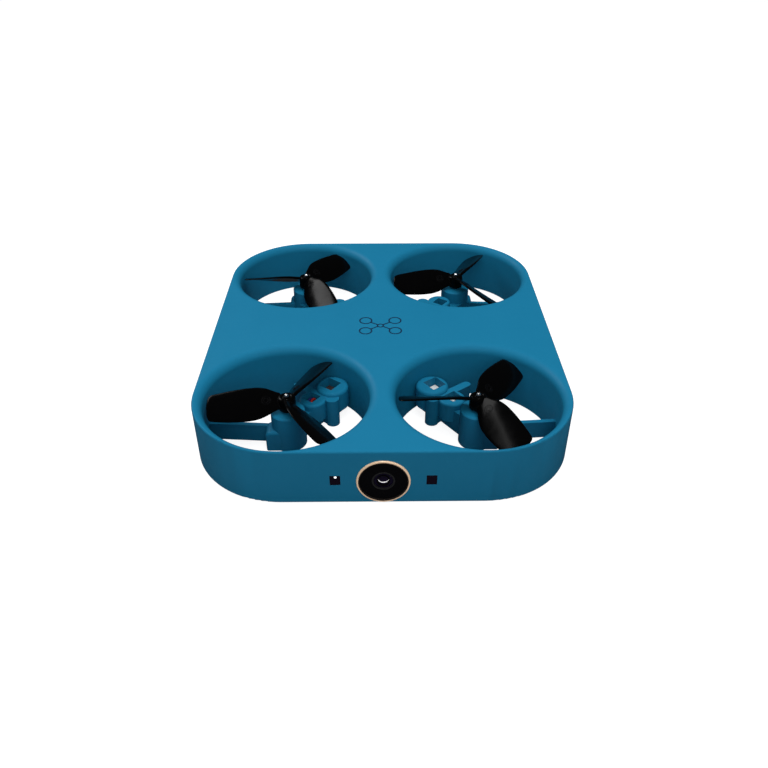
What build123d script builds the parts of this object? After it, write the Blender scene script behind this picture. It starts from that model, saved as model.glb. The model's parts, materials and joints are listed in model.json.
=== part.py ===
from build123d import *
import os
from math import sin, cos, radians, degrees, atan2

# Mini palm drone with four ducted three-blade rotors. Millimetres.
# Origin: centre of the flat underside. +Z up, the camera faces -Y, and +X is
# the viewer's right when looking at the camera face.

# ---------------------------------------------------------------- dimensions
WIDTH, DEPTH, HEIGHT = 104.0, 122.0, 17.0
FRONT, REAR = -DEPTH / 2, DEPTH / 2
CORNER_R = 25.5                         # plan radius of the body's corners
EDGE_TOP, EDGE_BOTTOM = 0.6, 0.35       # roundings of the outer edges
WALL, SKIN, DUCT_WALL = 1.2, 1.2, 1.0   # outer wall, top skin, duct wall
AXIS_X, AXIS_Y = 26.4, 36.0             # rotor axes at (+-AXIS_X, +-AXIS_Y)
BORE_R, LIP_R = 22.8, 2.7               # duct and its bell-mouth lip
COVER_T, COVER_GAP = 1.2, 0.1           # bottom cover thickness and seam gap
FIT = 0.05                              # clearance of the mounts in the ducts

# signs of x and y at each rotor
CORNERS = {"fl": (-1, -1), "fr": (1, -1), "rl": (-1, 1), "rr": (1, 1)}

# screws
SCREW_R, HEAD_R, HEAD_H = 0.70, 1.35, 0.7
COLUMN_BORE_R = SCREW_R + 0.01
SCREW_PASS_R, HEAD_PASS_R = SCREW_R + 0.1, HEAD_R + 0.1
CASE_SCREWS = [(-46.0, -9.0), (-46.0, 9.0), (46.0, -9.0), (46.0, 9.0),
               (0.0, -45.5), (0.0, 45.5)]
BOARD_SCREWS = [(-20.0, -8.6), (-20.0, 8.6), (20.0, -8.6), (20.0, 8.6)]
BOARD_Z0, BOARD_Z1 = 10.6, 11.6         # underside and top of the main board

# motor mounts: u runs along the bracket arm, v across it, both from the rotor axis
ARM_ANGLE = degrees(atan2(AXIS_Y, AXIS_X))   # the arm points to the body's centre
ARM_H = 7.0
MOUNT_SCREW_U = 27.0
LOBE_TOPS = {-1: (9.0, 10.0), 1: (10.3, 10.5)}   # inner, outer; front and rear mounts
INNER_WINDOW, OUTER_WINDOW = (10.7, 0.6), (17.9, -0.5)   # centres in u, v
INNER_WINDOW_SIZE, OUTER_WINDOW_SIZE = 3.8, 4.7
WINDOW_SLACK = 0.04
POD_R, POD_TOP = 4.8, 11.2
STRUT_H, STRUT_T = 5.5, 1.3
STRUT_ANGLE, STRUT_SHIFT = 175.9, 0.32

# motors
CAN_R, CAN_TOP, CAN_WALL = 3.5, 10.2, 0.25
CAN_INNER_R, CAN_INNER_TOP = CAN_R - CAN_WALL, CAN_TOP - 0.4
SHAFT_R, SHAFT_TOP = 0.5, 16.6
BUSH_R = SHAFT_R + 0.02                 # shaft hole with running clearance

# front face
CAMERA_Z = 7.25
TRIM_R, TRIM_INNER_R = 13.9 / 2, 12.3 / 2
PROUD = 0.35                            # trim ring and button stand out this far
LENS_R = 2.48
WINDOW_X, WINDOW_Z, WINDOW_W, WINDOW_H = 12.3, 7.55, 2.7, 3.2
PIN_HOLE_X, PIN_HOLE_Z = -WINDOW_X + 0.1, WINDOW_Z + 0.95

# rear face and underside
BUTTON_X, BUTTON_Z = -12.3, 8.0
USB_Z = 7.6
FLOW_X, RANGE_X = 8.0, -8.0             # downward sensors, both at y = 0

os.makedirs("parts", exist_ok=True)


# -------------------------------------------------------------------- helpers
def save(name, shape):
    """Write one node as a solid, or as a compound of separate solids."""
    solids = shape.solids()
    out = solids[0] if len(solids) == 1 else Compound(children=list(solids))
    out.label = name
    export_step(out, f"parts/{name}.step")


def group(items):
    """Keep solids separate within one node."""
    return Compound(children=[solid for item in items for solid in item.solids()])


def cyl(r, z0, z1, x=0.0, y=0.0):
    return Pos(x, y, (z0 + z1) / 2) * Cylinder(r, z1 - z0)


def tube(inner_r, outer_r, z0, z1, x=0.0, y=0.0):
    return cyl(outer_r, z0, z1, x, y) - cyl(inner_r, z0 - 1, z1 + 1, x, y)


def block(x0, x1, y0, y1, z0, z1):
    return Pos((x0 + x1) / 2, (y0 + y1) / 2, (z0 + z1) / 2) * \
        Box(x1 - x0, y1 - y0, z1 - z0)


def disc_y(r, y0, y1, x=0.0, z=0.0):
    """Cylinder along Y."""
    return Pos(x, (y0 + y1) / 2, z) * Rot(90, 0, 0) * Cylinder(r, y1 - y0)


def prism(points, z0, z1):
    """Straight-sided block over a closed plan outline."""
    outline = Polyline(*[(x, y, z0) for x, y in points], close=True)
    return extrude(make_face(outline), z1 - z0, dir=(0, 0, 1))


def prism_y(outline, x, z, y0, y1):
    """Outline stood up in XZ at (x, z) and run from y0 back to y1."""
    return Pos(0, y0, 0) * extrude(Plane.XZ * Pos(x, z) * outline, y0 - y1)


def rod(points, r):
    """Round wire along straight runs with mitred bends."""
    path = Polyline(*points)
    start = Plane(origin=path @ 0, z_dir=path % 0)
    return sweep(start * Circle(r), path=path, transition=Transition.RIGHT)


def arm_point(u, v, z):
    """Point given along and across the front-left arm."""
    return Vector(u, v, z).rotate(Axis.Z, ARM_ANGLE)


def along_arm(shape):
    return Rot(0, 0, ARM_ANGLE) * shape


def place(shape, key):
    """Copy a front-left shape, given about its rotor axis, to a corner."""
    sx, sy = CORNERS[key]
    if sx > 0:
        shape = mirror(shape, about=Plane.YZ)
    if sy > 0:
        shape = mirror(shape, about=Plane.XZ)
    return Pos(sx * AXIS_X, sy * AXIS_Y, 0) * shape


def strut(u0, u1, z0, clearance=0.0):
    """Thin bar from the motor pod outwards to the side of the duct."""
    half = STRUT_T / 2 + clearance
    bar = block(u0, u1, -half, half, z0, STRUT_H + clearance)
    return Pos(0, STRUT_SHIFT, 0) * Rot(0, 0, STRUT_ANGLE) * bar


reach = arm_point(MOUNT_SCREW_U, 0, 0)
MOUNT_SCREWS = [(sx * (AXIS_X - reach.X), sy * (AXIS_Y - reach.Y))
                for sx, sy in CORNERS.values()]


# ------------------------------------------------------------------ top shell
def cavity_face(inset):
    """Plan of the hollow between the ducts; inset pulls it in all round."""
    margin = WALL + inset
    face = RectangleRounded(WIDTH - 2 * margin, DEPTH - 2 * margin, CORNER_R - margin)
    for sx, sy in ((-1, -1), (-1, 1), (1, -1), (1, 1)):
        face -= Pos(sx * AXIS_X, sy * AXIS_Y) * Circle(BORE_R + DUCT_WALL + inset)
        # the wall is solid where the duct runs close to the outside:
        # inner x and y of each solid area, then its size
        for x, y, width, depth in ((AXIS_X, 22, 30, 50), (16.5, 50, 30, 20)):
            face -= Pos(sx * (x + (width - inset) / 2), sy * (y + (depth - inset) / 2)) * \
                Rectangle(width + inset, depth + inset)
    return face


def duct_air():
    """Solid of the air inside one duct: straight bore and rounded lip."""
    mouth_r, lip_z = BORE_R + LIP_R, HEIGHT - LIP_R
    rise = LIP_R * sin(radians(45))
    bore = Polyline((0, -1), (BORE_R, -1), (BORE_R, lip_z))
    lip = ThreePointArc((BORE_R, lip_z), (mouth_r - rise, lip_z + rise), (mouth_r, HEIGHT))
    top = Polyline((mouth_r, HEIGHT), (mouth_r, HEIGHT + 2), (0, HEIGHT + 2), (0, -1))
    profile = Plane.XZ * make_face(bore.edges() + lip.edges() + top.edges())
    return revolve(profile, axis=Axis.Z)


def top_shell():
    body = extrude(RectangleRounded(WIDTH, DEPTH, CORNER_R), HEIGHT)
    body = fillet(body.faces().sort_by(Axis.Z)[-1].edges(), EDGE_TOP)
    body = fillet(body.faces().sort_by(Axis.Z)[0].edges(), EDGE_BOTTOM)
    air = duct_air()
    for sx, sy in CORNERS.values():
        body -= Pos(sx * AXIS_X, sy * AXIS_Y, 0) * air
    body -= Pos(0, 0, -1) * extrude(cavity_face(0), HEIGHT - SKIN + 1)

    # screw columns under the top skin: places, radius, lower end
    for places, radius, z0 in ((CASE_SCREWS, 2.0, COVER_T),
                               (MOUNT_SCREWS, 1.9, 3.25),
                               (BOARD_SCREWS, 1.6, BOARD_Z1)):
        for x, y in places:
            body += tube(COLUMN_BORE_R, radius, z0, HEIGHT - SKIN + 0.1, x, y)

    # notches in each duct wall for the bracket arm and the strut
    notch = along_arm(block(21.5, 24.4, -3.05 - FIT, 3.0 + FIT, -1, ARM_H + FIT))
    notch += strut(22.0, 24.5, -1, FIT)
    for key in CORNERS:
        body -= place(notch, key)

    # front openings: camera and small windows
    body -= disc_y(TRIM_R + 0.01, FRONT - 1, FRONT + WALL + 0.3, 0, CAMERA_Z)
    for side in (-1, 1):
        body -= Pos(side * WINDOW_X, FRONT + 0.5, WINDOW_Z) * \
            Box(WINDOW_W + 0.04, 3.4, WINDOW_H + 0.04)
    # rear openings: charging port and button
    body -= prism_y(RectangleRounded(9.2, 3.5, 1.7), 0, USB_Z, REAR - 2, REAR + 1)
    body -= prism_y(SlotOverall(5.1, 2.5), BUTTON_X, BUTTON_Z, REAR - 1.5, REAR + 1)
    return body


# --------------------------------------------------------------- bottom cover
def bottom_cover():
    cover = extrude(cavity_face(COVER_GAP), COVER_T)
    for x, y in CASE_SCREWS:
        cover -= cyl(SCREW_PASS_R, -1, 3, x, y)
        cover -= cyl(HEAD_PASS_R, -1, 0.75, x, y)
    cover -= cyl(2.9, -1, 3, FLOW_X, 0)
    cover -= Pos(RANGE_X, 0, 0) * Box(4.4, 2.6, 6)
    cover -= disc_y(TRIM_R + 0.1, FRONT - 1, FRONT + WALL + 0.3, 0, CAMERA_Z)
    slot_x, slot_pitch = 30.0, 2.2
    for i in range(-3, 4):
        cover -= Pos(slot_x, i * slot_pitch, 0) * \
            extrude(SlotOverall(9.0, 1.0), 4, both=True)
    return cover


def screw(x, y, z, length):
    """Cross-recess screw, head down, with the head's lower face at z."""
    head = cyl(HEAD_R, z, z + HEAD_H, x, y)
    head = fillet(head.edges().sort_by(Axis.Z)[0], 0.3)
    body = head + cyl(SCREW_R, z + HEAD_H - 0.1, z + HEAD_H + length, x, y)
    recess_w, recess_l, recess_h = 0.34, 1.5, 0.7    # half the height is in the head
    body -= Pos(x, y, z) * Box(recess_l, recess_w, recess_h)
    body -= Pos(x, y, z) * Box(recess_w, recess_l, recess_h)
    return body


save("top_shell", top_shell())
save("bottom_cover", bottom_cover())
save("case_screws", group([screw(x, y, 0.04, 5.0) for x, y in CASE_SCREWS]))
# the same short screw holds the motor mounts and the main board
save("inner_screws", group([screw(x, y, 1.4, 4.5) for x, y in MOUNT_SCREWS] +
                           [screw(x, y, BOARD_Z0 - 0.71, 4.5) for x, y in BOARD_SCREWS]))


# --------------------------------------------------------------- motor mounts
def bracket_arm(inner_top, outer_top):
    """Arm from the pod to the duct wall, with two lobes and a screw column."""
    arm = prism([(2.5, -2.1), (13.0, -2.1), (16.0, -3.05), (24.2, -3.05),
                 (24.2, 3.0), (16.0, 3.0), (11.0, 3.6), (2.0, 4.6)], 0, ARM_H)
    inner = cyl(3.9, 3.0, inner_top, 10.5, -0.1)
    inner = fillet(inner.edges().sort_by(Axis.Z)[-1], 0.7)
    outer = cyl(4.75, 3.5, outer_top, 17.9, -1.4)
    outer = fillet(outer.edges().sort_by(Axis.Z)[-1], 1.0)
    arm += inner
    arm += outer
    # column beside the arm and the web that joins it
    arm += cyl(2.0, 0, inner_top - 0.1, 13.9, -4.5)
    arm += prism([(12.6, 0.0), (12.2, -4.4), (15.6, -4.4), (16.4, 0.0)],
                 0, inner_top - 0.2)
    # round-ended tongue across the arm
    tongue = block(11.9, 14.3, -3.0, 7.8, 2.4, inner_top)
    tongue += cyl(1.2, 2.4, inner_top, 13.1, 7.8)
    arm += tongue
    arm = along_arm(arm)
    arm &= cyl(BORE_R + DUCT_WALL - FIT, -1, 20)
    return arm


def motor_mount(inner_top, outer_top):
    mount = cyl(POD_R, 0, POD_TOP)
    mount = chamfer(mount.edges().sort_by(Axis.Z)[-1], 0.35)
    # side block that carries the strut, with a rounded shoulder
    side = block(-6.3, 0, -4.2, 1.5, 0, 6.3)
    shoulder = side.edges().filter_by(Axis.Y).group_by(Axis.Z)[-1].sort_by(Axis.X)[0]
    side = fillet(shoulder, 1.6)
    side = fillet(side.edges().filter_by(Axis.Z).sort_by(Axis.X)[:2], 0.8)
    mount += side
    mount += strut(3.0, 24.4, 0)
    mount += bracket_arm(inner_top, outer_top)
    # foot inside the hollow, under its screw column
    foot = block(23.0, 29.4, -3.0, 3.0, 1.3, 3.2)
    foot -= block(24.0, 25.5, -0.1, 1.6, 0, 5)
    foot -= cyl(SCREW_PASS_R, 0, 5, MOUNT_SCREW_U, 0)
    foot -= cyl(HEAD_PASS_R, 0, 2.12, MOUNT_SCREW_U, 0)
    mount += along_arm(foot)
    # windows down through the arm and the lead channel under it
    cuts = Pos(*OUTER_WINDOW, 5) * Box(OUTER_WINDOW_SIZE, OUTER_WINDOW_SIZE, 20)
    cuts += Pos(*INNER_WINDOW, 5) * Box(INNER_WINDOW_SIZE, INNER_WINDOW_SIZE, 20)
    channel = block(2.0, 25.4, 0.0, 1.5, -1, 2.3)
    mount -= along_arm(cuts + channel)
    # the motor slides in from below, up to the pod's closed top
    mount -= cyl(CAN_R + 0.01, -1, CAN_TOP + 0.02)
    mount -= cyl(1.2, 5, 20)
    return mount


# --------------------------------------------------------------------- motors
def motor_can():
    can = cyl(CAN_R, 0.85, CAN_TOP)
    can = fillet(can.edges().sort_by(Axis.Z)[-1], 0.3)
    can += cyl(1.1, CAN_TOP - 0.1, CAN_TOP + 0.4)
    can -= cyl(CAN_INNER_R, 0, CAN_INNER_TOP)
    can -= cyl(BUSH_R, 0, 20)
    return can


def motor_end_cap():
    cap = tube(BUSH_R, CAN_INNER_R, 0.9, 1.5)
    cap += tube(BUSH_R, 1.1, 0.55, 1.5)
    cap += block(-3.0, -1.5, -0.5, 0.5, 1.4, 2.2)
    cap += block(1.5, 3.0, -0.5, 0.5, 1.4, 2.2)
    return cap


def motor_coil():
    """Open winding sleeve with an end disc and a hub on the shaft."""
    return tube(2.6, 3.0, 2.7, 9.3) + tube(SHAFT_R, 3.0, 2.7, 3.3) + \
        tube(SHAFT_R, 1.2, 1.7, 3.0)


def motor_shaft():
    shaft = cyl(SHAFT_R, 0.7, SHAFT_TOP)
    return chamfer(shaft.edges().sort_by(Axis.Z)[-1], 0.12)


def motor_leads():
    """Two wires from under the motor, and a block in each arm window."""
    items = []
    for v in (0.42, 1.08):
        route = [(1.6, 0.45), (4.4, 0.45), (19.0, 0.95), (24.8, 1.75), (24.8, 10.2)]
        items.append(rod([arm_point(u, v, z) for u, z in route], 0.28))
    outer_size = OUTER_WINDOW_SIZE - WINDOW_SLACK
    outer = Pos(*OUTER_WINDOW, 5.0) * Box(outer_size, outer_size, 5.0)
    outer = chamfer(outer.faces().sort_by(Axis.Z)[-1].edges(), 0.3)
    items.append(along_arm(outer))
    inner_size = INNER_WINDOW_SIZE - WINDOW_SLACK
    inner = Pos(*INNER_WINDOW, 5.2) * Box(inner_size, inner_size, 3.6)
    items.append(along_arm(inner))
    return group(items)


motor_parts = {"motor_can": motor_can(),
               "motor_magnet": tube(0.75, 2.35, 4.0, CAN_INNER_TOP),
               "motor_end_cap": motor_end_cap(),
               "motor_coil": motor_coil(),
               "motor_shaft": motor_shaft(),
               "motor_leads": motor_leads()}
for key, (sx, sy) in CORNERS.items():
    save(f"motor_mount_{key}", place(motor_mount(*LOBE_TOPS[sy]), key))
    for name, shape in motor_parts.items():
        save(f"{name}_{key}", place(shape, key))

# ----------------------------------------------------------------- propellers
HUB_R, HUB_Z0, HUB_Z1 = 2.5, 11.75, 15.9
BLADE_Z = 14.35                     # height of the blade's pitch axis
DROOP, DROOP_START = 0.045, 6.0     # fall per mm of radius beyond the start
CAMBER = 0.045                      # greatest camber as a share of the chord
# radius, chord, pitch angle, share of the chord ahead of the axis, thickness
BLADE = [(1.2, 4.4, 40.0, 0.50, 1.15), (3.2, 5.6, 39.0, 0.50, 1.05),
         (5.5, 8.0, 37.5, 0.48, 0.95), (8.0, 9.4, 36.0, 0.46, 0.85),
         (11.0, 9.8, 34.0, 0.45, 0.75), (14.0, 9.7, 32.0, 0.44, 0.66),
         (17.0, 9.2, 29.5, 0.43, 0.58), (19.6, 8.6, 27.5, 0.42, 0.52)]
TIP = [BLADE[-1], (20.8, 8.1, 26.6, 0.42, 0.50),
       (21.5, 7.2, 26.1, 0.42, 0.48), (21.85, 6.2, 25.8, 0.42, 0.46),
       (22.0, 4.8, 25.6, 0.42, 0.44)]
# share of the chord from the leading edge, then shares of thickness and camber
AEROFOIL = [(0.0, 0.10, 0.0), (0.12, 0.55, 0.45), (0.35, 0.95, 0.95),
            (0.65, 0.85, 0.9), (0.9, 0.45, 0.4), (1.0, 0.10, 0.0)]
# +1 turns counter-clockwise seen from above; rest angle of one blade
SPIN = {"fl": (-1, 184.0), "fr": (1, 176.0), "rl": (1, 176.0), "rr": (-1, 184.0)}


def blade_section(radius, chord, pitch, ahead, thickness):
    """Closed aerofoil face at one radius, leading edge towards +Y."""
    pitch = radians(pitch)
    axis_z = BLADE_Z - DROOP * max(0.0, radius - DROOP_START)

    def point(along, normal):
        return Vector(radius, along * cos(pitch) - normal * sin(pitch),
                      axis_z + along * sin(pitch) + normal * cos(pitch))

    upper, lower = [], []
    for station, thick_share, camber_share in AEROFOIL:
        along = chord * ahead - station * chord
        middle = CAMBER * chord * camber_share
        half = thickness * thick_share / 2
        upper.append(point(along, middle + half))
        lower.append(point(along, middle - half))
    return make_face(Wire([Spline(*upper), Line(upper[-1], lower[-1]),
                           Spline(*lower[::-1]), Line(lower[0], upper[0])]))


def propeller(spin, angle):
    blade = loft([blade_section(*row) for row in BLADE])
    blade += loft([blade_section(*row) for row in TIP], ruled=True)
    prop = cyl(HUB_R, HUB_Z0, HUB_Z1)
    prop = fillet(prop.edges().sort_by(Axis.Z)[-1], 0.8)
    prop = fillet(prop.edges().sort_by(Axis.Z)[0], 0.3)
    for k in range(3):
        prop += Rot(0, 0, 120 * k) * blade
    prop -= cyl(SHAFT_R, 0, 20)
    if spin < 0:
        prop = mirror(prop, about=Plane.XZ)
    return Rot(0, 0, angle) * prop


for key, (sx, sy) in CORNERS.items():
    save(f"propeller_{key}", Pos(sx * AXIS_X, sy * AXIS_Y, 0) * propeller(*SPIN[key]))


# --------------------------------------------------------------------- camera
def camera_disc(r, y0, y1):
    """Disc on the camera axis, y measured inwards from the front face."""
    return disc_y(r, FRONT + y0, FRONT + y1, 0, CAMERA_Z)


ring = camera_disc(TRIM_R, -PROUD, WALL + 0.2)
ring = fillet(ring.edges().sort_by(Axis.Y)[0], 0.25)
ring -= camera_disc(TRIM_INNER_R, -1, 4)
save("camera_trim_ring", ring)

save("camera_window", camera_disc(TRIM_INNER_R - 0.02, 0.05, 0.95) -
     camera_disc(LENS_R + 0.02, -1, 3))

# flat lens disc with a domed front
dome = camera_disc(LENS_R, 0.1, 0.95) & (Pos(0, FRONT + 4.0, CAMERA_Z) * Sphere(3.85))
save("camera_lens", camera_disc(LENS_R, 0.45, 0.95) + dome)

save("camera_barrel", camera_disc(4.4, 1.0, 5.2) - camera_disc(2.2, 0, 4.2))

module = block(-5.2, 5.2, FRONT + 5.25, FRONT + 8.6, 2.0, 12.5)
save("camera_module", fillet(module.edges().filter_by(Axis.Y), 0.6))

save("camera_cable", rod([(2.9, FRONT + 8.9, 8.0), (3.0, FRONT + 13.0, 8.0),
                          (2.75, -44.0, 8.2), (1.2, -36.0, 8.6),
                          (1.0, -26.0, 9.0), (1.0, -12.5, 11.1)], 0.55))


# -------------------------------------------------------------- front windows
def front_window(side):
    """Pane in the wall with a wider flange behind it."""
    x = side * WINDOW_X
    pane = Pos(x, FRONT + 0.7, WINDOW_Z) * Box(WINDOW_W, 1.1, WINDOW_H)
    pane += Pos(x, FRONT + 1.5, WINDOW_Z) * Box(WINDOW_W + 0.8, 0.55, WINDOW_H + 0.8)
    if side < 0:   # the status light shows through a pin hole
        pane -= disc_y(0.34, FRONT - 1, FRONT + 3, PIN_HOLE_X, PIN_HOLE_Z)
    return pane


save("front_window_left", front_window(-1))
save("front_window_right", front_window(1))
light = Pos(-WINDOW_X, FRONT + 2.35, WINDOW_Z) * Box(2.2, 1.0, 2.6)
light += disc_y(0.32, FRONT + 0.2, FRONT + 2.0, PIN_HOLE_X, PIN_HOLE_Z)
save("status_light", light)
save("front_infrared_sensor", Pos(WINDOW_X, FRONT + 2.4, WINDOW_Z) * Box(2.2, 1.1, 2.8))

# ---------------------------------------------------------------------- board
board = extrude(RectangleRounded(44.0, 22.0, 1.5), BOARD_Z1 - BOARD_Z0)
board = Pos(0, 0, BOARD_Z0) * board
for x, y in BOARD_SCREWS:
    board -= cyl(SCREW_PASS_R, 5, 20, x, y)
save("main_board", board)

shield = block(-8, 6, -6.5, 6.5, BOARD_Z1, BOARD_Z1 + 1.9)
save("radio_shield", fillet(shield.edges().group_by(Axis.Z)[-1], 0.3))

# x0, x1, y0, y1, height above the board
CHIPS = [(9, 15, -5, 1, 0.9), (9, 13, 3.5, 7.5, 0.8),
         (-17, -11, -3, 3, 0.9), (16.5, 18.0, -2.5, -0.5, 1.0)]
save("board_chips", group([block(x0, x1, y0, y1, BOARD_Z1, BOARD_Z1 + height)
                           for x0, x1, y0, y1, height in CHIPS]))

# thin plate on the inside of the right wall
inner_x = WIDTH / 2 - WALL
save("radio_antenna", block(inner_x - 0.35, inner_x, -14, 14, 4.0, 13.0))

# -------------------------------------------------------------------- battery
PACK_Z0, PACK_Z1 = 2.9, 9.4
pack = block(-21, 21, -10, 10, PACK_Z0, PACK_Z1)
pack = fillet(pack.edges().filter_by(Axis.X), 1.6)
pack = fillet(pack.edges().filter_by(Axis.Z), 0.5)
save("battery_pack", pack)
save("battery_foam", block(-19, -11.2, -7, 7, COVER_T, PACK_Z0) +
     block(11.8, 19, -7, 7, COVER_T, PACK_Z0))
plug = block(24.6, 28.4, -3, 3, 9.2, 12.0)
wires = [rod([(21.3, y, 7.5), (22.6, y, 7.6), (23.4, y, 9.0), (24.4, y, 10.2)], 0.45)
         for y in (-1.6, 1.6)]
save("battery_leads", group([plug] + wires))

# ------------------------------------------------------ charging port, button
USB_W, USB_H, USB_WALL = 8.94, 3.26, 0.3
usb = prism_y(RectangleRounded(USB_W, USB_H, 1.55), 0, USB_Z, REAR - 7.4, REAR - 0.15)
usb -= prism_y(RectangleRounded(USB_W - 2 * USB_WALL, USB_H - 2 * USB_WALL, 1.3),
               0, USB_Z, REAR - 6.4, REAR + 1)
usb += block(-3.3, 3.3, REAR - 6.8, REAR - 1.0, USB_Z - 0.35, USB_Z + 0.35)
save("usb_port", usb)
save("rear_board", block(-8.0, 7.0, REAR - 7.4, REAR - 1.9, USB_Z - 2.5, USB_Z - 1.7))

# button cap, its flange inside the wall and the pin that meets the switch
button = prism_y(SlotOverall(4.94, 2.34), BUTTON_X, BUTTON_Z, REAR - 1.9, REAR + PROUD)
button = fillet(button.edges().group_by(Axis.Y)[-1], 0.3)
button += Pos(BUTTON_X, REAR - 1.9, BUTTON_Z) * Box(5.9, 0.6, 3.3)
button += disc_y(0.6, REAR - 2.5, REAR - 1.9, BUTTON_X, BUTTON_Z)
save("power_button", button)
save("button_switch", Pos(BUTTON_X, REAR - 3.75, BUTTON_Z) * Box(3.4, 1.3, 3.0))

# ----------------------------------------------------------- downward sensors
flow = cyl(2.8, 0.35, 1.6, FLOW_X, 0) + \
    block(FLOW_X - 3.4, FLOW_X + 3.4, -3.4, 3.4, 1.25, 2.7)
flow -= cyl(1.5, 0, 0.9, FLOW_X, 0)
flow_lens = cyl(1.45, 0.42, 0.9, FLOW_X, 0)
save("flow_camera", group([flow, flow_lens]))
save("range_sensor", Pos(RANGE_X, 0, 0.9) * Box(4.2, 2.4, 1.1) +
     Pos(RANGE_X, 0, 1.9) * Box(5.4, 3.6, 1.2))
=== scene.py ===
# A palm-sized blue drone with four three-bladed rotors, standing on the plane z = 0.
# The scene is in metres with +Z up; sizes here are in millimetres and go through MM.
# The nose camera looks along -Y. Left and right are as seen from in front: left is -X.
import json
import math
import bpy
import bmesh
import numpy as np
from mathutils import Matrix, Vector

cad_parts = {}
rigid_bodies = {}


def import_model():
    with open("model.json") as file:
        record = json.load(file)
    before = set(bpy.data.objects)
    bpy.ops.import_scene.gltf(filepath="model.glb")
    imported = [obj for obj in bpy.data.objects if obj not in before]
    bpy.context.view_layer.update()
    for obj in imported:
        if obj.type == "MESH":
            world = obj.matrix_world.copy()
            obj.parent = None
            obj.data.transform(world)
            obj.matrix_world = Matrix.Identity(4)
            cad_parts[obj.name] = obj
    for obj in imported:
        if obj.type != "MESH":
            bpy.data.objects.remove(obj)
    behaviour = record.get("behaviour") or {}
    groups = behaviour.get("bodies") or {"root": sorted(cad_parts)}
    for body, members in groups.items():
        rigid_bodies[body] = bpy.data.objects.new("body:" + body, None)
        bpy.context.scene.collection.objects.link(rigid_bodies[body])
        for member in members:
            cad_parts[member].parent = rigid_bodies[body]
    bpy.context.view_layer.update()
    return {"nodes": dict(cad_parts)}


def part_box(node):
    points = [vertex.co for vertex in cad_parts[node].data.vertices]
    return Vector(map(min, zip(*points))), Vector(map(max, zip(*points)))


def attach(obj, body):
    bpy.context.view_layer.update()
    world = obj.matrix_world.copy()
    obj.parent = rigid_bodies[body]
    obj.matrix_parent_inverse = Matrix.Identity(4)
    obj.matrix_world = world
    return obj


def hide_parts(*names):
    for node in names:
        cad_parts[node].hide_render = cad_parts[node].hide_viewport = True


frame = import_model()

MM = 0.001
CORNERS = {"fl": (-1, -1), "fr": (1, -1), "rl": (-1, 1), "rr": (1, 1)}  # signs of x and y
PALE_CORNERS = ("fr", "rl")  # white caps and leads, blades not mirrored
ROTOR_X, ROTOR_Y = 26.4, 36.0  # rotor axes, either side of the middle
ARM_ANGLE = math.atan2(ROTOR_Y, ROTOR_X)
SHELL_TOP = 17.0
LENS_Z = 7.25

scene = bpy.context.scene
objects = scene.collection.objects


# ------------------------------------------------------------------ node helpers
class Nodes:
    """Adds nodes to a tree; a socket is fed with a number, a tuple or another socket."""

    def __init__(self, tree):
        self.tree = tree

    def feed(self, socket, value):
        if isinstance(value, bpy.types.NodeSocket):
            self.tree.links.new(value, socket)
        elif isinstance(value, tuple) and socket.type == "RGBA":
            socket.default_value = (*value, 1.0)
        else:
            socket.default_value = value

    def node(self, kind, sockets=(), **settings):
        made = self.tree.nodes.new("ShaderNode" + kind)
        for key, value in settings.items():
            setattr(made, key, value)
        for key, value in dict(sockets).items():
            self.feed(made.inputs[key], value)
        return made

    def mix(self, share, first, second):
        return self.node("Mix", {0: share, 6: first, 7: second}, data_type="RGBA").outputs[2]


class Mat(Nodes):
    """A material whose textures read object space in millimetres."""

    SOCKETS = {"color": "Base Color", "rough": "Roughness", "metal": "Metallic", "ior": "IOR",
               "coat": "Coat Weight", "spec": "Specular IOR Level",
               "glow": "Emission Color", "glow_strength": "Emission Strength"}

    def __init__(self, name):
        self.material = bpy.data.materials.new(name)
        self.material.use_nodes = True
        super().__init__(self.material.node_tree)
        self.shader = self.tree.nodes["Principled BSDF"]
        place = self.node("TexCoord").outputs["Object"]
        self.mm = self.stretch(place, (1 / MM, 1 / MM, 1 / MM))

    def stretch(self, vector, scale):
        return self.node("Mapping", {"Vector": vector, "Scale": scale}).outputs["Vector"]

    def noise(self, scale, detail=4.0, rough=0.55, vector=None):
        return self.node("TexNoise", {"Scale": scale, "Detail": detail, "Roughness": rough,
                                      "Vector": vector or self.mm}).outputs["Fac"]

    def remap(self, value, source, target):
        """Carry the source range onto the target range, clamped."""
        sockets = enumerate((value, *source, *target))
        return self.node("MapRange", sockets, clamp=True).outputs[0]

    def spread(self, noise, low, high):
        """Stretch the busy middle of a noise over low to high."""
        return self.remap(noise, source=(0.3, 0.7), target=(low, high))

    def math(self, operation, *values):
        return self.node("Math", enumerate(values), operation=operation).outputs[0]

    def times(self, value, factor):
        return self.math("MULTIPLY", value, factor)

    def split(self):
        """The x, y and z of the millimetre vector."""
        return self.node("SeparateXYZ", {0: self.mm}).outputs

    def set(self, **values):
        for key, value in values.items():
            self.feed(self.shader.inputs[self.SOCKETS[key]], value)

    def bump(self, height, strength, depth=0.02):
        bump = self.node("Bump", {"Strength": strength, "Distance": depth * MM,
                                  "Height": height})
        self.feed(self.shader.inputs["Normal"], bump.outputs["Normal"])

    def edge(self, radius):
        """1 on edges, from the angle between true and bevelled normals."""
        bevel = self.node("Bevel", {"Radius": radius * MM}, samples=4)
        true = self.node("NewGeometry")
        dot = self.node("VectorMath", {0: bevel.outputs["Normal"], 1: true.outputs["Normal"]},
                        operation="DOT_PRODUCT")
        return self.remap(dot.outputs["Value"], source=(0.985, 0.86), target=(0.0, 1.0))


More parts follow.
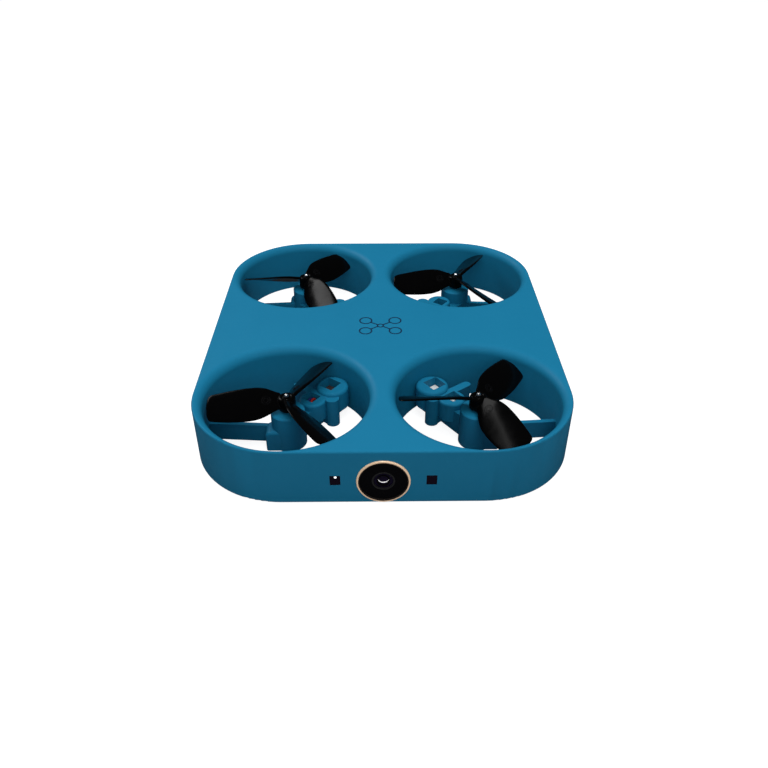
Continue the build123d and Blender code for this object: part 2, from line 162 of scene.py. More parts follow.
# ------------------------------------------------------------- general materials
def shell_paint(name, tone=1.0):
    """Satin blue paint: faint mottling, pale specks, worn edges and orange peel."""
    mat = Mat(name)
    base = (0.0075 * tone, 0.168 * tone, 0.310 * tone)
    light = (0.0095 * tone, 0.182 * tone, 0.332 * tone)
    color = mat.mix(mat.noise(scale=0.06, detail=3.0), base, light)
    specks = mat.remap(mat.noise(scale=9.0, detail=2.0, rough=0.7),
                       source=(0.62, 0.72), target=(0.0, 0.05))
    color = mat.mix(specks, color, (0.06, 0.30, 0.52))
    wear = mat.times(mat.edge(radius=0.22), factor=0.16)
    color = mat.mix(wear, color, (0.10, 0.36, 0.58))
    rough = mat.spread(mat.noise(scale=0.35, detail=5.0), low=0.44, high=0.54)
    mat.set(color=color, rough=rough, spec=0.17, ior=1.46)
    peel = mat.math("ADD",
                    mat.times(mat.noise(scale=2.2, detail=3.0, rough=0.5), factor=0.6),
                    mat.times(mat.noise(scale=11.0, detail=2.0, rough=0.5), factor=0.4))
    mat.bump(peel, strength=0.10)
    return mat.material


def plain(name, first, second, rough, metal=0.0, scale=1.2, bump=0.12, fine=8.0, edge=None):
    """Two mottled colours; rough is the roughness range, fine the scale of the bump."""
    mat = Mat(name)
    color = mat.mix(mat.noise(scale), first, second)
    if edge:
        color = mat.mix(mat.times(mat.edge(radius=0.15), factor=0.25), color, edge)
    mottle = mat.noise(scale * 1.7, detail=5.0)
    mat.set(color=color, rough=mat.spread(mottle, *rough), metal=metal)
    mat.bump(mat.noise(fine, detail=3.0), strength=bump)
    return mat.material


def grey(value):
    return (value, value, value)


def brushed(name, first, second, rough, stretch, scale, bump=0.15):
    """Metal with fine drawn or turned lines, packed close along the stretched axis."""
    mat = Mat(name)
    lines = mat.noise(scale, detail=3.0, rough=0.6, vector=mat.stretch(mat.mm, stretch))
    color = mat.mix(lines, first, second)
    mat.set(color=color, rough=mat.spread(lines, *rough), metal=1.0)
    mat.bump(lines, strength=bump, depth=0.01)
    return mat.material


def insulation(name, first, second):
    """Smooth wire skin with slightly lighter edges."""
    edge = tuple(min(1, channel * 1.6 + 0.02) for channel in second)
    return plain(name, first, second, rough=(0.32, 0.46), scale=2.0, bump=0.1, fine=10.0,
                 edge=edge)


def gloss_black(name):
    """Polished black with faint wipe marks and dust."""
    mat = Mat(name)
    smear = mat.noise(scale=0.5, detail=6.0, rough=0.65)
    dust = mat.remap(mat.noise(scale=16.0, detail=2.0),
                     source=(0.70, 0.78), target=(0.0, 0.25))
    mat.set(color=mat.mix(dust, (0.002, 0.002, 0.0025), grey(0.02)),
            rough=mat.remap(smear, source=(0.35, 0.7), target=(0.03, 0.09)), spec=0.16)
    mat.bump(mat.noise(scale=0.8, detail=2.0), strength=0.03)
    return mat.material


def two_tone(name, upper, lower):
    """Motor leads: one colour above a set height, another below."""
    mat = Mat(name)
    high = mat.remap(mat.split()[2], source=(2.3, 2.4), target=(0.0, 1.0))
    body = mat.mix(mat.noise(scale=1.5), upper, tuple(x * 0.8 for x in upper))
    wires = mat.mix(mat.noise(scale=3.0), lower, tuple(x * 1.3 for x in lower))
    mat.set(color=mat.mix(high, wires, body),
            rough=mat.spread(mat.noise(scale=3.0), low=0.35, high=0.5))
    mat.bump(mat.noise(scale=8.0), strength=0.12)
    return mat.material


# ---------------------------------------------------- materials for single pieces
def ring_gold():
    """Camera ring: turned copper-gold outside, near black inside the rim radius."""
    mat = Mat("turned_gold_ring")
    low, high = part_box("camera_trim_ring")
    centre = (low + high) / 2
    place = mat.split()
    across = mat.math("SUBTRACT", place[0], centre.x / MM)
    up = mat.math("SUBTRACT", place[2], centre.z / MM)
    radius = mat.math("SQRT", mat.math("ADD", mat.times(across, across), mat.times(up, up)))
    # the noise sees only radius and depth, so its lines run round the axis
    turned = mat.node("CombineXYZ", {0: mat.times(radius, factor=14.0),
                                     1: mat.times(place[1], factor=14.0)})
    lines = mat.noise(scale=1.0, detail=3.0, rough=0.6, vector=turned.outputs[0])
    gold = mat.mix(lines, (0.86, 0.58, 0.37), (0.96, 0.70, 0.48))
    rim = mat.remap(radius, source=(6.40, 6.50), target=(0.0, 1.0))
    mat.set(color=mat.mix(rim, (0.012, 0.010, 0.009), gold),
            metal=mat.times(rim, factor=0.35),
            rough=mat.spread(lines, low=0.30, high=0.45),
            spec=mat.remap(rim, source=(0.0, 1.0), target=(0.1, 0.5)))
    mat.bump(lines, strength=0.12, depth=0.01)
    return mat.material


def lens_coat():
    """Dark coated glass whose tint turns with the viewing angle."""
    mat = Mat("coated_lens")
    facing = mat.node("LayerWeight", {"Blend": 0.35}).outputs["Facing"]
    ramp = mat.node("ValToRGB", {"Fac": facing})
    stops = [(0.0, (0.004, 0.002, 0.010)), (0.45, (0.012, 0.008, 0.03)),
             (0.8, (0.004, 0.016, 0.014)), (1.0, (0.01, 0.01, 0.012))]
    elements = ramp.color_ramp.elements
    while len(elements) < len(stops):
        elements.new(0.5)
    for element, (position, color) in zip(elements, stops):
        element.position = position
        element.color = (*color, 1.0)
    mat.set(color=ramp.outputs["Color"],
            rough=mat.spread(mat.noise(scale=1.2, detail=3.0), low=0.015, high=0.04),
            spec=0.25)
    return mat.material


def blade_plastic():
    """Glossy moulded black: slight flow marks, a hint of scuff, and paler edges that are a
    painted edge highlight.
    """
    mat = Mat("propeller_gloss_black")
    flow = mat.noise(scale=0.35, detail=4.0, rough=0.6)
    scuff = mat.remap(mat.noise(scale=5.0, detail=4.0, rough=0.7),
                      source=(0.60, 0.75), target=(0.0, 1.0))
    color = mat.mix(mat.times(scuff, factor=0.05), (0.0012, 0.0012, 0.0013),
                    (0.03, 0.03, 0.032))
    # painted highlight: the edges are lightened to stand in for the glints that light leaves
    # along the blade edges
    color = mat.mix(mat.times(mat.edge(radius=0.10), factor=0.30), color,
                    (0.055, 0.055, 0.06))
    mat.set(color=color, rough=mat.spread(flow, low=0.14, high=0.22), spec=0.082)
    height = mat.math("ADD", mat.times(flow, factor=0.7),
                      mat.times(mat.noise(scale=6.0, detail=2.0), factor=0.12))
    mat.bump(height, strength=0.06, depth=0.05)
    return mat.material


def board_green():
    """Solder mask with a faint brick pattern of tracks."""
    mat = Mat("solder_mask")
    tracks = mat.node("TexBrick", {"Scale": 0.55, "Mortar Size": 0.03,
                                   "Vector": mat.mm}).outputs["Fac"]
    mat.set(color=mat.mix(tracks, (0.008, 0.055, 0.035), (0.02, 0.11, 0.07)),
            rough=mat.spread(mat.noise(scale=2.0), low=0.25, high=0.4), coat=0.3)
    mat.bump(tracks, strength=0.2)
    return mat.material


def coil_copper():
    """Copper windings as diagonal waves."""
    mat = Mat("wound_copper")
    turns = mat.node("TexWave", {"Scale": 2.2, "Distortion": 0.6, "Vector": mat.mm},
                     bands_direction="DIAGONAL").outputs["Fac"]
    mat.set(color=mat.mix(turns, (0.38, 0.12, 0.04), (0.75, 0.34, 0.15)), metal=0.9,
            rough=mat.remap(turns, source=(0.0, 1.0), target=(0.25, 0.45)))
    mat.bump(turns, strength=0.5, depth=0.05)
    return mat.material


def window_dark():
    """Smooth, nearly black violet window."""
    mat = Mat("infrared_window")
    facing = mat.node("LayerWeight", {"Blend": 0.4}).outputs["Facing"]
    mat.set(color=mat.mix(facing, (0.004, 0.001, 0.006), (0.012, 0.004, 0.016)),
            rough=mat.spread(mat.noise(scale=1.0, detail=4.0), low=0.05, high=0.12),
            spec=0.4)
    mat.bump(mat.noise(scale=3.0), strength=0.03, depth=0.01)
    return mat.material


def light_cap():
    """Glowing white diffuser."""
    mat = Mat("status_light_diffuser")
    grain = mat.noise(scale=4.0, detail=2.0)
    mat.set(color=mat.mix(grain, grey(0.9), (0.8, 0.82, 0.85)),
            rough=mat.spread(grain, low=0.3, high=0.4),
            glow=(0.95, 0.98, 1.0), glow_strength=1.6)
    return mat.material


def emblem_ink():
    """Dark blue ink."""
    mat = Mat("emblem_ink")
    grain = mat.noise(scale=3.0, detail=4.0)
    mat.set(color=mat.mix(grain, (0.004, 0.022, 0.060), (0.006, 0.032, 0.080)),
            rough=mat.spread(grain, low=0.35, high=0.5))
    mat.bump(mat.noise(scale=12.0), strength=0.1, depth=0.01)
    return mat.material


# ---------------------------------------------------- shared materials and looks
BLUE = shell_paint("shell_blue_paint")
MOUNT_BLUE = shell_paint("mount_blue_paint", tone=0.93)
COVER = shell_paint("cover_blue_paint", tone=0.96)
STEEL = brushed("drawn_steel", (0.50, 0.50, 0.52), (0.66, 0.66, 0.68), rough=(0.22, 0.38),
                stretch=(1, 1, 40), scale=2.0)
SHAFT = brushed("ground_shaft", (0.86, 0.86, 0.88), (0.95, 0.95, 0.96), rough=(0.06, 0.14),
                stretch=(1, 1, 30), scale=3.0, bump=0.05)
SCREW = brushed("blackened_screw", (0.10, 0.10, 0.11), (0.20, 0.20, 0.21),
                rough=(0.28, 0.45), stretch=(30, 1, 1), scale=3.0)
SHIELD = brushed("tinned_shield", grey(0.55), (0.70, 0.70, 0.69), rough=(0.25, 0.40),
                 stretch=(1, 12, 1), scale=1.0)
MAGNET = plain("plated_magnet", (0.35, 0.35, 0.37), (0.45, 0.45, 0.47), rough=(0.2, 0.35),
               metal=1.0)
BLACK = plain("moulded_black", (0.012, 0.012, 0.013), (0.022, 0.022, 0.023),
              rough=(0.42, 0.58), edge=grey(0.10))
WHITE = plain("moulded_white", (0.72, 0.72, 0.70), (0.80, 0.80, 0.78), rough=(0.38, 0.5),
              edge=grey(0.9))
FOAM = plain("foam_black", grey(0.010), grey(0.035), rough=(0.85, 0.98), scale=6.0,
             bump=0.8, fine=5.0)
FILM = plain("polyimide_film", (0.42, 0.20, 0.04), (0.52, 0.28, 0.07), rough=(0.25, 0.35))
PACK = plain("pouch_foil", (0.16, 0.17, 0.20), (0.24, 0.25, 0.28), rough=(0.30, 0.42),
             metal=0.5, scale=0.4, bump=0.4, fine=0.9)
TIP = brushed("turned_tip", grey(0.90), grey(0.96), rough=(0.30, 0.42),
              stretch=(1, 1, 30), scale=3.0, bump=0.05)
GOLD = ring_gold()
LENS = lens_coat()
PROPELLER = blade_plastic()
CAMERA_GLOSS = gloss_black("camera_gloss_black")
BOARD = board_green()
COIL = coil_copper()
WINDOW = window_dark()
STATUS_LIGHT = light_cap()
DARK_LEADS = two_tone("leads_dark", upper=(0.055, 0.035, 0.03), lower=(0.22, 0.012, 0.01))
PALE_LEADS = two_tone("leads_light", upper=(0.80, 0.80, 0.78), lower=(0.62, 0.62, 0.60))

LOOKS = {
    "top_shell": BLUE, "bottom_cover": COVER, "power_button": COVER,
    "case_screws": SCREW, "inner_screws": SCREW,
    "camera_trim_ring": GOLD, "camera_window": CAMERA_GLOSS, "camera_lens": LENS,
    "camera_barrel": BLACK, "camera_module": BLACK,
    "camera_cable": insulation("cable_black", grey(0.01), grey(0.02)),
    "front_window_left": WINDOW, "front_window_right": WINDOW,
    "status_light": STATUS_LIGHT, "front_infrared_sensor": BLACK,
    "main_board": BOARD, "rear_board": BOARD, "radio_shield": SHIELD, "board_chips": BLACK,
    "battery_pack": PACK, "battery_foam": FOAM,
    "battery_leads": insulation("lead_red", (0.35, 0.01, 0.008), (0.42, 0.015, 0.01)),
    "radio_antenna": FILM, "usb_port": SHIELD, "button_switch": BLACK,
    "flow_camera": gloss_black("flow_gloss"), "range_sensor": gloss_black("range_gloss"),
}
for key in CORNERS:
    if key in PALE_CORNERS:
        cap, leads = WHITE, PALE_LEADS
    else:
        cap = insulation("cap_blue_" + key, (0.02, 0.06, 0.25), (0.03, 0.08, 0.30))
        leads = DARK_LEADS
    LOOKS.update({
        f"motor_mount_{key}": MOUNT_BLUE, f"motor_can_{key}": STEEL,
        f"motor_magnet_{key}": MAGNET, f"motor_end_cap_{key}": cap,
        f"motor_leads_{key}": leads, f"motor_coil_{key}": COIL,
        f"motor_shaft_{key}": SHAFT, f"propeller_{key}": PROPELLER})


def dress(piece, material):
    """Give a loaded piece its material, and smooth shading with crisp edges."""
    piece.data.materials.clear()
    piece.data.materials.append(material)
    for face in piece.data.polygons:
        face.use_smooth = True
    weld = piece.modifiers.new("weld", "WELD")
    weld.merge_threshold = 2e-7
    edges = piece.modifiers.new("edges", "EDGE_SPLIT")
    edges.split_angle = math.radians(28)


for name, piece in frame["nodes"].items():
    dress(piece, LOOKS[name])


# ----------------------------------------------------------------- mesh building
def add_mesh(name, bm, material, body, smooth=True, subdivide=False):
    """Turn a bmesh into an object that rides on a body and fills a material slot."""
    bmesh.ops.recalc_face_normals(bm, faces=bm.faces)
    mesh = bpy.data.meshes.new(name)
    bm.to_mesh(mesh)
    bm.free()
    mesh.materials.append(material)
    for face in mesh.polygons:
        face.use_smooth = smooth
    made = bpy.data.objects.new(name, mesh)
    objects.link(made)
    if subdivide:
        subsurf = made.modifiers.new("subsurf", "SUBSURF")
        subsurf.levels = 1
        subsurf.render_levels = 2
    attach(made, body)
    return made


def angles(count):
    return [2 * math.pi * i / count for i in range(count)]


def add_face(bm, corners):
    """A face without repeated corners, if three or more are left."""
    distinct = list(dict.fromkeys(corners))
    if len(distinct) > 2:
        bm.faces.new(distinct)


def skin(bm, rows, closed):
    """Join neighbouring loops of vertices; a loop may be a single point."""
    following = rows[1:] + rows[:1] if closed else rows[1:]
    for row, after in zip(rows, following):
        for i in range(max(len(row), len(after))):
            add_face(bm, (row[i % len(row)], row[(i + 1) % len(row)],
                          after[(i + 1) % len(after)], after[i % len(after)]))


def capped_tube(bm, rows):
    skin(bm, rows, closed=False)
    bm.faces.new(rows[0][::-1])
    bm.faces.new(rows[-1])


def revolve(bm, profile, steps, place):
    """Turn (radius, height) points; place maps two cross axes and height to a point."""
    rows = []
    for radius, height in profile:
        if radius == 0:
            row = [bm.verts.new(place(0, 0, height))]
        else:
            row = [bm.verts.new(place(radius * math.cos(a), radius * math.sin(a), height))
                   for a in angles(steps)]
        rows.append(row)
    skin(bm, rows, closed=profile[0][0] > 0 and profile[-1][0] > 0)
    return [vert for row in rows for vert in row]


def revolve_on_rotor(bm, profile, steps, rotor_x, rotor_y):
    verts = revolve(bm, profile, steps, lambda x, y, z: (x, y, z))
    bmesh.ops.scale(bm, vec=(MM, MM, MM), verts=verts)
    bmesh.ops.translate(bm, vec=(rotor_x * MM, rotor_y * MM, 0), verts=verts)


# ------------------------------------------------------------------- propellers
# radius, chord, pitch in degrees, share of chord ahead of the axis, thickness
SECTIONS = np.array([
    (1.2, 4.4, 40.0, 0.50, 1.15), (3.2, 5.6, 39.0, 0.50, 1.05), (5.5, 8.0, 37.5, 0.48, 0.95),
    (8.0, 9.4, 36.0, 0.46, 0.85), (11.0, 9.8, 34.0, 0.45, 0.75), (14.0, 9.7, 32.0, 0.44, 0.66),
    (17.0, 9.2, 29.5, 0.43, 0.58), (19.6, 8.6, 27.5, 0.42, 0.52), (22.0, 8.0, 25.6, 0.42, 0.44)])
SECTION_RADII, SECTION_VALUES = SECTIONS[:, 0], SECTIONS[:, 1:]
SECTION_SLOPES = np.gradient(SECTION_VALUES, SECTION_RADII, axis=0)
BLADE_RADII = [1.5, 2.2, 3.0, 4.0, 5.0, 6.0, 7.2, 8.6, 10.2, 12.0, 14.0, 16.0, 17.8, 19.2,
               20.0, 20.6, 21.1, 21.5, 21.78, 21.93, 21.99]
BLADE_Z = 14.35
DROOP, DROOP_START = 0.045, 6.0  # fall per mm of radius, and the radius where it begins
CHORD_STEPS = 14
TIP_START, TIP_SPAN = 19.2, 2.8  # where the outline rounds off
THIN_START, THIN_SPAN = 21.4, 0.62  # where the tip thins
CIRCLE_RADIUS, CIRCLE_SHARE = 5.6, 0.46  # raised circles: place along and across the blade
CIRCLES = ((1.15, 0.10, 0.07), (0.62, 0.08, 0.06))  # radius, half width, height
CIRCLE_STEPS, CIRCLE_SIDES = 40, 6
# radius, z
HUB = [(0.52, 11.75), (2.1, 11.75), (2.4, 11.95), (2.5, 12.3), (2.5, 15.0), (2.42, 15.35),
       (2.2, 15.62), (1.9, 15.8), (1.45, 15.88), (1.30, 15.70), (1.0, 15.66), (0.9, 15.9),
       (0.72, 15.95), (0.52, 15.88)]
SHAFT_TIP = [(0.0, 16.68), (0.22, 16.66), (0.42, 16.56), (0.56, 16.38), (0.62, 16.14),
             (0.62, 15.75), (0.0, 15.75)]


def section_at(radius):
    """Chord, pitch, lead share and thickness, by a cubic through the table."""
    i = int(np.clip(np.searchsorted(SECTION_RADII, radius) - 1, 0, len(SECTION_RADII) - 2))
    gap = SECTION_RADII[i + 1] - SECTION_RADII[i]
    t = (radius - SECTION_RADII[i]) / gap
    return ((2 * t**3 - 3 * t**2 + 1) * SECTION_VALUES[i]
            + (t**3 - 2 * t**2 + t) * gap * SECTION_SLOPES[i]
            + (-2 * t**3 + 3 * t**2) * SECTION_VALUES[i + 1]
            + (t**3 - t**2) * gap * SECTION_SLOPES[i + 1])


def blade_point(radius, share, side, section, squeeze=1.0):
    """Point at a chord share (0 leading, 1 trailing) on the upper (1) or lower (-1) skin."""
    chord, pitch, lead, thickness = section
    pitch = math.radians(pitch)
    along = (chord * lead - share * chord) * squeeze
    # fullest at share 0.39, rounded off close to both edges
    depth = thickness * (0.16 + 0.84 * (max(0.0, 1 - (2 * share - 0.78) ** 2 / 1.9)) ** 0.8)
    depth *= min(1.0, (share / 0.035) ** 0.5)
    depth *= min(1.0, ((1 - share) / 0.03) ** 0.5)
    camber = 0.045 * chord * 4 * share * (1 - share) * (1.15 - 0.3 * share)
    normal = camber + side * depth / 2
    middle_z = BLADE_Z - DROOP * max(0.0, radius - DROOP_START)
    return (radius, along * math.cos(pitch) - normal * math.sin(pitch),
            middle_z + along * math.sin(pitch) + normal * math.cos(pitch))


def blade_placer(turn, spin, rotor_x, rotor_y):
    """Carries a blade point, mirrored if spin is -1, to its rotor, in metres."""
    cos_turn, sin_turn = math.cos(turn), math.sin(turn)

    def place(x, y, z):
        y *= spin
        return ((x * cos_turn - y * sin_turn + rotor_x) * MM,
                (x * sin_turn + y * cos_turn + rotor_y) * MM, z * MM)
    return place


def add_blade(bm, place):
    shares = [0.5 - 0.5 * math.cos(math.pi * i / CHORD_STEPS) for i in range(CHORD_STEPS + 1)]
    outline = [(share, 1) for share in shares] + [(share, -1) for share in shares[-2:0:-1]]
    rows = []
    for radius in BLADE_RADII:
        section = section_at(radius)
        squeeze = 1.0
        if radius > TIP_START:
            squeeze = max(0.0, 1 - ((radius - TIP_START) / TIP_SPAN) ** 5.0) ** (1 / 2.6)
        if radius >= THIN_START:
            section[3] *= max(0.25, 1 - ((radius - THIN_START) / THIN_SPAN) ** 2 * 0.75)
        rows.append([bm.verts.new(place(*blade_point(radius, share, side, section, squeeze)))
                     for share, side in outline])
    skin(bm, rows, closed=False)
    bm.faces.new(rows[0][::-1])
    # close the tip with a strip between the two skins
    tip = rows[-1]
    count = len(tip)
    for i in range(CHORD_STEPS):
        add_face(bm, (tip[i], tip[i + 1], tip[(count - i - 1) % count],
                      tip[(count - i) % count]))


def add_circle(bm, place, circle_radius, half_width, height):
    """A raised circle that follows the blade's upper skin near its root."""
    chord, _, lead, _ = section_at(CIRCLE_RADIUS)
    centre = chord * lead - CIRCLE_SHARE * chord
    rows = []
    for around in angles(CIRCLE_STEPS):
        row = []
        for side in angles(CIRCLE_SIDES):
            reach = circle_radius + half_width * math.cos(side)
            radius = CIRCLE_RADIUS + reach * math.cos(around)
            section = section_at(radius)
            chord, _, lead, _ = section
            share = (chord * lead - (centre + reach * math.sin(around))) / chord
            share = min(max(share, 0.02), 0.98)
            x, y, z = blade_point(radius, share, 1, section)
            z += height * (0.35 + math.sin(side))
            row.append(bm.verts.new(place(x, y, z)))
        rows.append(row)
    skin(bm, rows, closed=True)


def build_rotor(key, rotor_x, rotor_y):
    """Three blades and a hub in one mesh, and the steel shaft tip above them."""
    spin, first_turn = (1, 176.0) if key in PALE_CORNERS else (-1, 184.0)
    bm = bmesh.new()
    for i in range(3):
        place = blade_placer(math.radians(first_turn + 120 * i), spin, rotor_x, rotor_y)
        add_blade(bm, place)
        for circle in CIRCLES:
            add_circle(bm, place, *circle)
    revolve_on_rotor(bm, HUB, 72, rotor_x, rotor_y)
    propeller = add_mesh(f"propeller_visual_{key}", bm, PROPELLER, f"rotor_{key}",
                         subdivide=True)
    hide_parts(f"propeller_{key}")
    bm = bmesh.new()
    revolve_on_rotor(bm, SHAFT_TIP, 32, rotor_x, rotor_y)
    add_mesh(f"shaft_tip_{key}", bm, TIP, f"rotor_{key}")


for key, (side_x, side_y) in CORNERS.items():
    build_rotor(key, side_x * ROTOR_X, side_y * ROTOR_Y)


# ----------------------------------------------------------------------- emblem
EMBLEM_X, EMBLEM_Y = -0.4, -0.3
EMBLEM_LOW, EMBLEM_HIGH = SHELL_TOP - 0.01, SHELL_TOP + 0.03
RING_X, RING_Y = 4.6, 3.1  # outer ring centres from the emblem's middle
BAR_START, BAR_END_GAP = 1.05, 2.0  # from the middle, and short of the ring's centre
BAR_WIDTH = 0.46


def add_annulus(bm, x, y, inner, outer):
    rows = []
    section = ((inner, EMBLEM_LOW), (inner, EMBLEM_HIGH), (outer, EMBLEM_HIGH),
               (outer, EMBLEM_LOW))
    for a in angles(48):
        rows.append([bm.verts.new(((x + radius * math.cos(a)) * MM,
                                   (y + radius * math.sin(a)) * MM, z * MM))
                     for radius, z in section])
    skin(bm, rows, closed=True)


def add_bar(bm, x0, y0, x1, y1):
    along = Vector((x1 - x0, y1 - y0)).normalized()
    dx, dy = -along.y * BAR_WIDTH / 2, along.x * BAR_WIDTH / 2
    points = [(x0 + dx, y0 + dy), (x1 + dx, y1 + dy), (x1 - dx, y1 - dy), (x0 - dx, y0 - dy)]
    low, high = [[bm.verts.new((x * MM, y * MM, z * MM)) for x, y in points]
                 for z in (EMBLEM_LOW, EMBLEM_HIGH)]
    bm.faces.new(high)
    bm.faces.new(low[::-1])
    skin(bm, [low, high], closed=False)


def build_emblem():
    """Four raised rings joined to a middle ring by a cross, on top of the shell."""
    bm = bmesh.new()
    angle = math.atan2(RING_Y, RING_X)
    bar_end = math.hypot(RING_X, RING_Y) - BAR_END_GAP
    for sx in (-1, 1):
        for sy in (-1, 1):
            add_annulus(bm, EMBLEM_X + sx * RING_X, EMBLEM_Y + sy * RING_Y, 1.64, 2.10)
            add_bar(bm, EMBLEM_X + sx * BAR_START * math.cos(angle),
                    EMBLEM_Y + sy * BAR_START * math.sin(angle),
                    EMBLEM_X + sx * bar_end * math.cos(angle),
                    EMBLEM_Y + sy * bar_end * math.sin(angle))
    add_annulus(bm, EMBLEM_X, EMBLEM_Y, 0.68, 1.12)
    add_mesh("rotor_emblem", bm, emblem_ink(), "airframe", smooth=False)


build_emblem()


# --------------------------------------------------------------- terminal wires
WIRE_RADIUS = 0.34
WIRE_SIDES = 12
# distance from the rotor axis along the arm, across it, z
TERMINAL_WIRES = {
    "a": [(9.75, 0.1, 6.9), (9.9, 0.1, 7.8), (10.8, 0.2, 8.25), (11.7, 0.3, 7.8),
          (12.0, 0.3, 6.9)],
    "b": [(9.75, 1.35, 6.9), (9.9, 1.35, 7.6), (10.8, 1.3, 8.0), (11.7, 1.3, 7.6),
          (12.0, 1.3, 6.9)]}
RED = insulation("wire_red", (0.30, 0.015, 0.01), (0.40, 0.02, 0.015))
DEEP_BLUE = insulation("wire_blue", (0.01, 0.02, 0.12), (0.015, 0.03, 0.16))
PALE = insulation("wire_white", (0.78, 0.78, 0.76), (0.84, 0.84, 0.82))
DARK = insulation("wire_black", grey(0.008), grey(0.015))


def smooth_path(points):
    """Catmull-Rom curve, six steps between each pair of points."""
    points = [Vector(point) for point in points]
    padded = [points[0]] + points + [points[-1]]
    path = []
    for p0, p1, p2, p3 in zip(padded, padded[1:], padded[2:], padded[3:]):
        for step in range(6):
            t = step / 6
            path.append(0.5 * ((2 * p1) + (p2 - p0) * t
                               + (2 * p0 - 5 * p1 + 4 * p2 - p3) * t * t
                               + (3 * p1 - p0 - 3 * p2 + p3) * t ** 3))
    path.append(points[-1])
    return path


def build_wire(name, points, material):
    """Round wire swept along a smoothed path."""
    path = smooth_path(points)
    bm = bmesh.new()
    rows = []
    up = Vector((0.13, 0.21, 0.97)).normalized()
    for i, point in enumerate(path):
        along = (path[min(i + 1, len(path) - 1)] - path[max(i - 1, 0)]).normalized()
        side = along.cross(up)
        if side.length < 0.1:
            side = along.cross(Vector((1, 0, 0)))
        side.normalize()
        over = side.cross(along)
        rows.append([bm.verts.new((point + WIRE_RADIUS * (side * math.cos(a)
                                                          + over * math.sin(a))) * MM)
                     for a in angles(WIRE_SIDES)])
    capped_tube(bm, rows)
    add_mesh(name, bm, material, "airframe")


def arm_point(key, along, across, z):
    """Arm coordinates of a corner, carried to the drone's own millimetres."""
    side_x, side_y = CORNERS[key]
    x = -ROTOR_X + along * math.cos(ARM_ANGLE) - across * math.sin(ARM_ANGLE)
    y = -ROTOR_Y + along * math.sin(ARM_ANGLE) + across * math.cos(ARM_ANGLE)
    return (-side_x * x, -side_y * y, z)


for key in CORNERS:
    colors = (PALE, DARK) if key in PALE_CORNERS else (RED, DEEP_BLUE)
    for (letter, points), color in zip(TERMINAL_WIRES.items(), colors):
        build_wire(f"terminal_wire_{letter}_{key}",
                   [arm_point(key, *point) for point in points], color)


# ------------------------------------------------------------------ lens details
def build_bezel(name, front_y, profile, material):
    """Ring turned about the lens axis; profile is radius, depth behind front_y."""
    bm = bmesh.new()
    revolve(bm, profile, 72, lambda across, up, depth: (
        across * MM, (front_y + depth) * MM, (LENS_Z + up) * MM))
    add_mesh(name, bm, material, "airframe")


def build_glint():
    """Painted highlight: a tapered white arc on the front of the lens, bowed downwards, standing
    in for the lens's reflection.
    """
    steps, start, sweep = 28, 200.0, 140.0
    arc_radius, y, centre_z = 1.42, -60.97, LENS_Z + 1.05
    bm = bmesh.new()
    rows = []
    for i in range(steps + 1):
        share = i / steps
        around = math.radians(start + sweep * share)
        half_width = 0.025 + 0.15 * math.sin(math.pi * share) ** 1.2
        row = []
        for side in angles(8):
            radius = arc_radius + half_width * math.cos(side)
            row.append(bm.verts.new((radius * math.cos(around) * MM,
                                     (y - 0.05 * math.sin(side)) * MM,
                                     (centre_z + radius * math.sin(around)) * MM)))
        rows.append(row)
    capped_tube(bm, rows)
    # the white of this arc is a painted highlight, not a part of the lens
    white = plain("lens_glint_white", grey(0.88), grey(0.94), rough=(0.25, 0.35))
    add_mesh("lens_glint_arc", bm, white, "airframe")


# the unused-by-mesh finish of polished metal stays out: both rings are black
build_bezel("lens_pupil_bezel", -60.9,
            [(1.28, 0.30), (1.62, -0.02), (1.74, -0.04), (1.74, 0.40), (1.28, 0.40)],
            CAMERA_GLOSS)
build_bezel("lens_outer_seat", -60.95,
            [(2.42, 0.10), (2.62, -0.03), (2.95, -0.03), (3.02, 0.05), (3.0, 0.2),
             (2.42, 0.2)], BLACK)
build_glint()

# ------------------------------------------------------------- camera and lights
camera_data = bpy.data.cameras.new("view")
camera_data.lens = 35.0
camera_data.sensor_width = 36.0
camera_data.clip_start = 0.01
camera = bpy.data.objects.new("view", camera_data)
objects.link(camera)
CAMERA_TURN = Matrix(((0.999954, 0.005526, -0.007828),
                      (-0.009582, 0.576633, -0.816942),
                      (0.0, 0.816979, 0.57666)))
CAMERA_PLACE = (-0.0012023, -0.201555, 0.136696)
camera.matrix_world = Matrix.Translation(CAMERA_PLACE) @ CAMERA_TURN.to_4x4()
scene.camera = camera


def area(name, place, size, power, target=(0, 0, 0.008), glossy=True, only=()):
    """Square light aimed at a target; only names the pieces it reaches, if not all."""
    data = bpy.data.lights.new(name, "AREA")
    data.energy = power
    data.size = size
    light = bpy.data.objects.new(name, data)
    objects.link(light)
    light.location = place
    aim = Vector(target) - Vector(place)
    light.rotation_euler = aim.to_track_quat("-Z", "Y").to_euler()
    light.visible_glossy = glossy
    if only:
        receivers = bpy.data.collections.new("accent_" + name)
        for piece_name in only:
            receivers.objects.link(bpy.data.objects[piece_name])
        light.light_linking.receiver_collection = receivers


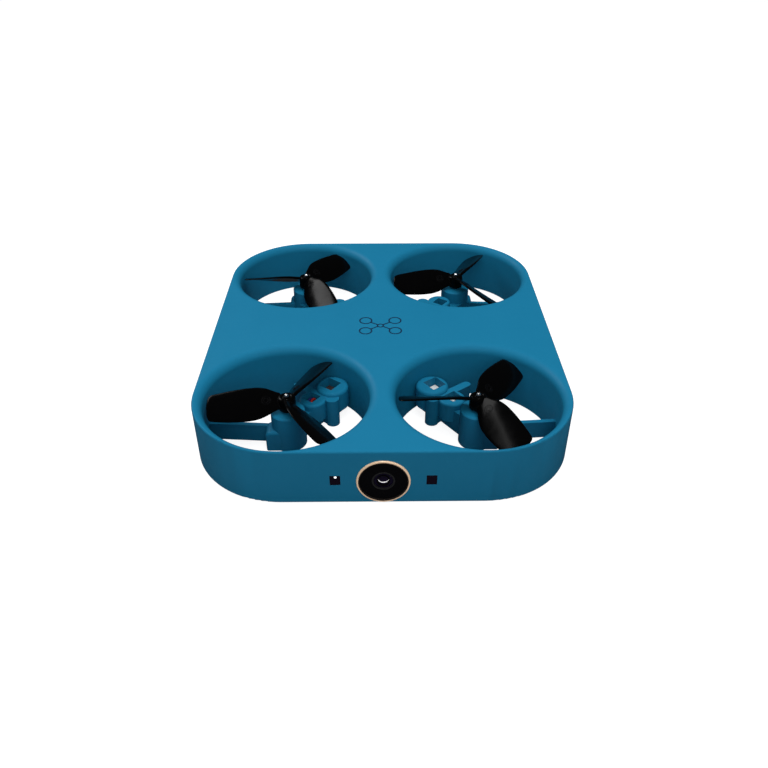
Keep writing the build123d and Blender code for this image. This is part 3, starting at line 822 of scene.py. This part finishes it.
area("key_left_back", (-0.50, 0.40, 0.52), size=0.34, power=1.9)
area("overhead", (0.05, -0.02, 0.70), size=0.60, power=3.7, glossy=False)
area("front_fill", (0.05, -0.60, 0.46), size=0.50, power=1.72, glossy=False)
area("ring_accent", (0.06, -0.55, 0.36), size=0.40, power=1.9, target=(0, -0.061, 0.007),
     only=["camera_trim_ring", "lens_glint_arc"])
area("tip_accent", (0.02, -0.16, 0.50), size=0.30, power=2.6, target=(0, 0, 0.016),
     only=[f"{part}_{key}" for part in ("motor_shaft", "shaft_tip") for key in CORNERS])

# the world is white to the camera, dim to glossy rays and grey to the rest
world = bpy.data.worlds.new("studio")
scene.world = world
world.use_nodes = True
sky = Nodes(world.node_tree)
background = sky.tree.nodes["Background"]
ray = sky.node("LightPath").outputs
surroundings = sky.mix(ray["Is Glossy Ray"], (0.16, 0.165, 0.17), (0.022, 0.023, 0.025))
sky.feed(background.inputs["Color"], sky.mix(ray["Is Camera Ray"], surroundings, grey(1)))
background.inputs["Strength"].default_value = 1.0


# ------------------------------------------------------------------------- floor
def floor_material():
    """Glows white to the camera; clear from below and to rays under half a millimetre."""
    mat = Mat("pale_floor")
    grain = mat.noise(scale=0.02, detail=3.0)
    ray = mat.node("LightPath").outputs
    pale = mat.mix(grain, (0.34, 0.34, 0.345), (0.36, 0.36, 0.365))
    mat.set(color=mat.mix(ray["Is Glossy Ray"], pale, (0.06, 0.06, 0.065)),
            rough=0.95, spec=0.0, glow=grey(1),
            glow_strength=mat.times(ray["Is Camera Ray"], factor=0.88))
    below = mat.node("NewGeometry").outputs["Backfacing"]
    near = mat.math("LESS_THAN", ray["Ray Length"], 0.5 * MM)
    clear = mat.node("BsdfTransparent").outputs[0]
    mixed = mat.node("MixShader", {0: mat.math("MAXIMUM", below, near),
                                   1: mat.shader.outputs[0], 2: clear})
    mat.feed(mat.tree.nodes["Material Output"].inputs["Surface"], mixed.outputs[0])
    return mat.material


floor_mesh = bpy.data.meshes.new("floor")
floor_mesh.from_pydata([(-30, -30, 0), (30, -30, 0), (30, 30, 0), (-30, 30, 0)], [],
                       [(0, 1, 2, 3)])
floor = bpy.data.objects.new("floor", floor_mesh)
floor.location = (0, 0, -0.0002)
objects.link(floor)
floor_mesh.materials.append(floor_material())

scene.view_settings.view_transform = "Standard"
scene.view_settings.look = "None"
scene.view_settings.exposure = 0.0
scene.cycles.use_denoising = True
scene.cycles.seed = 7
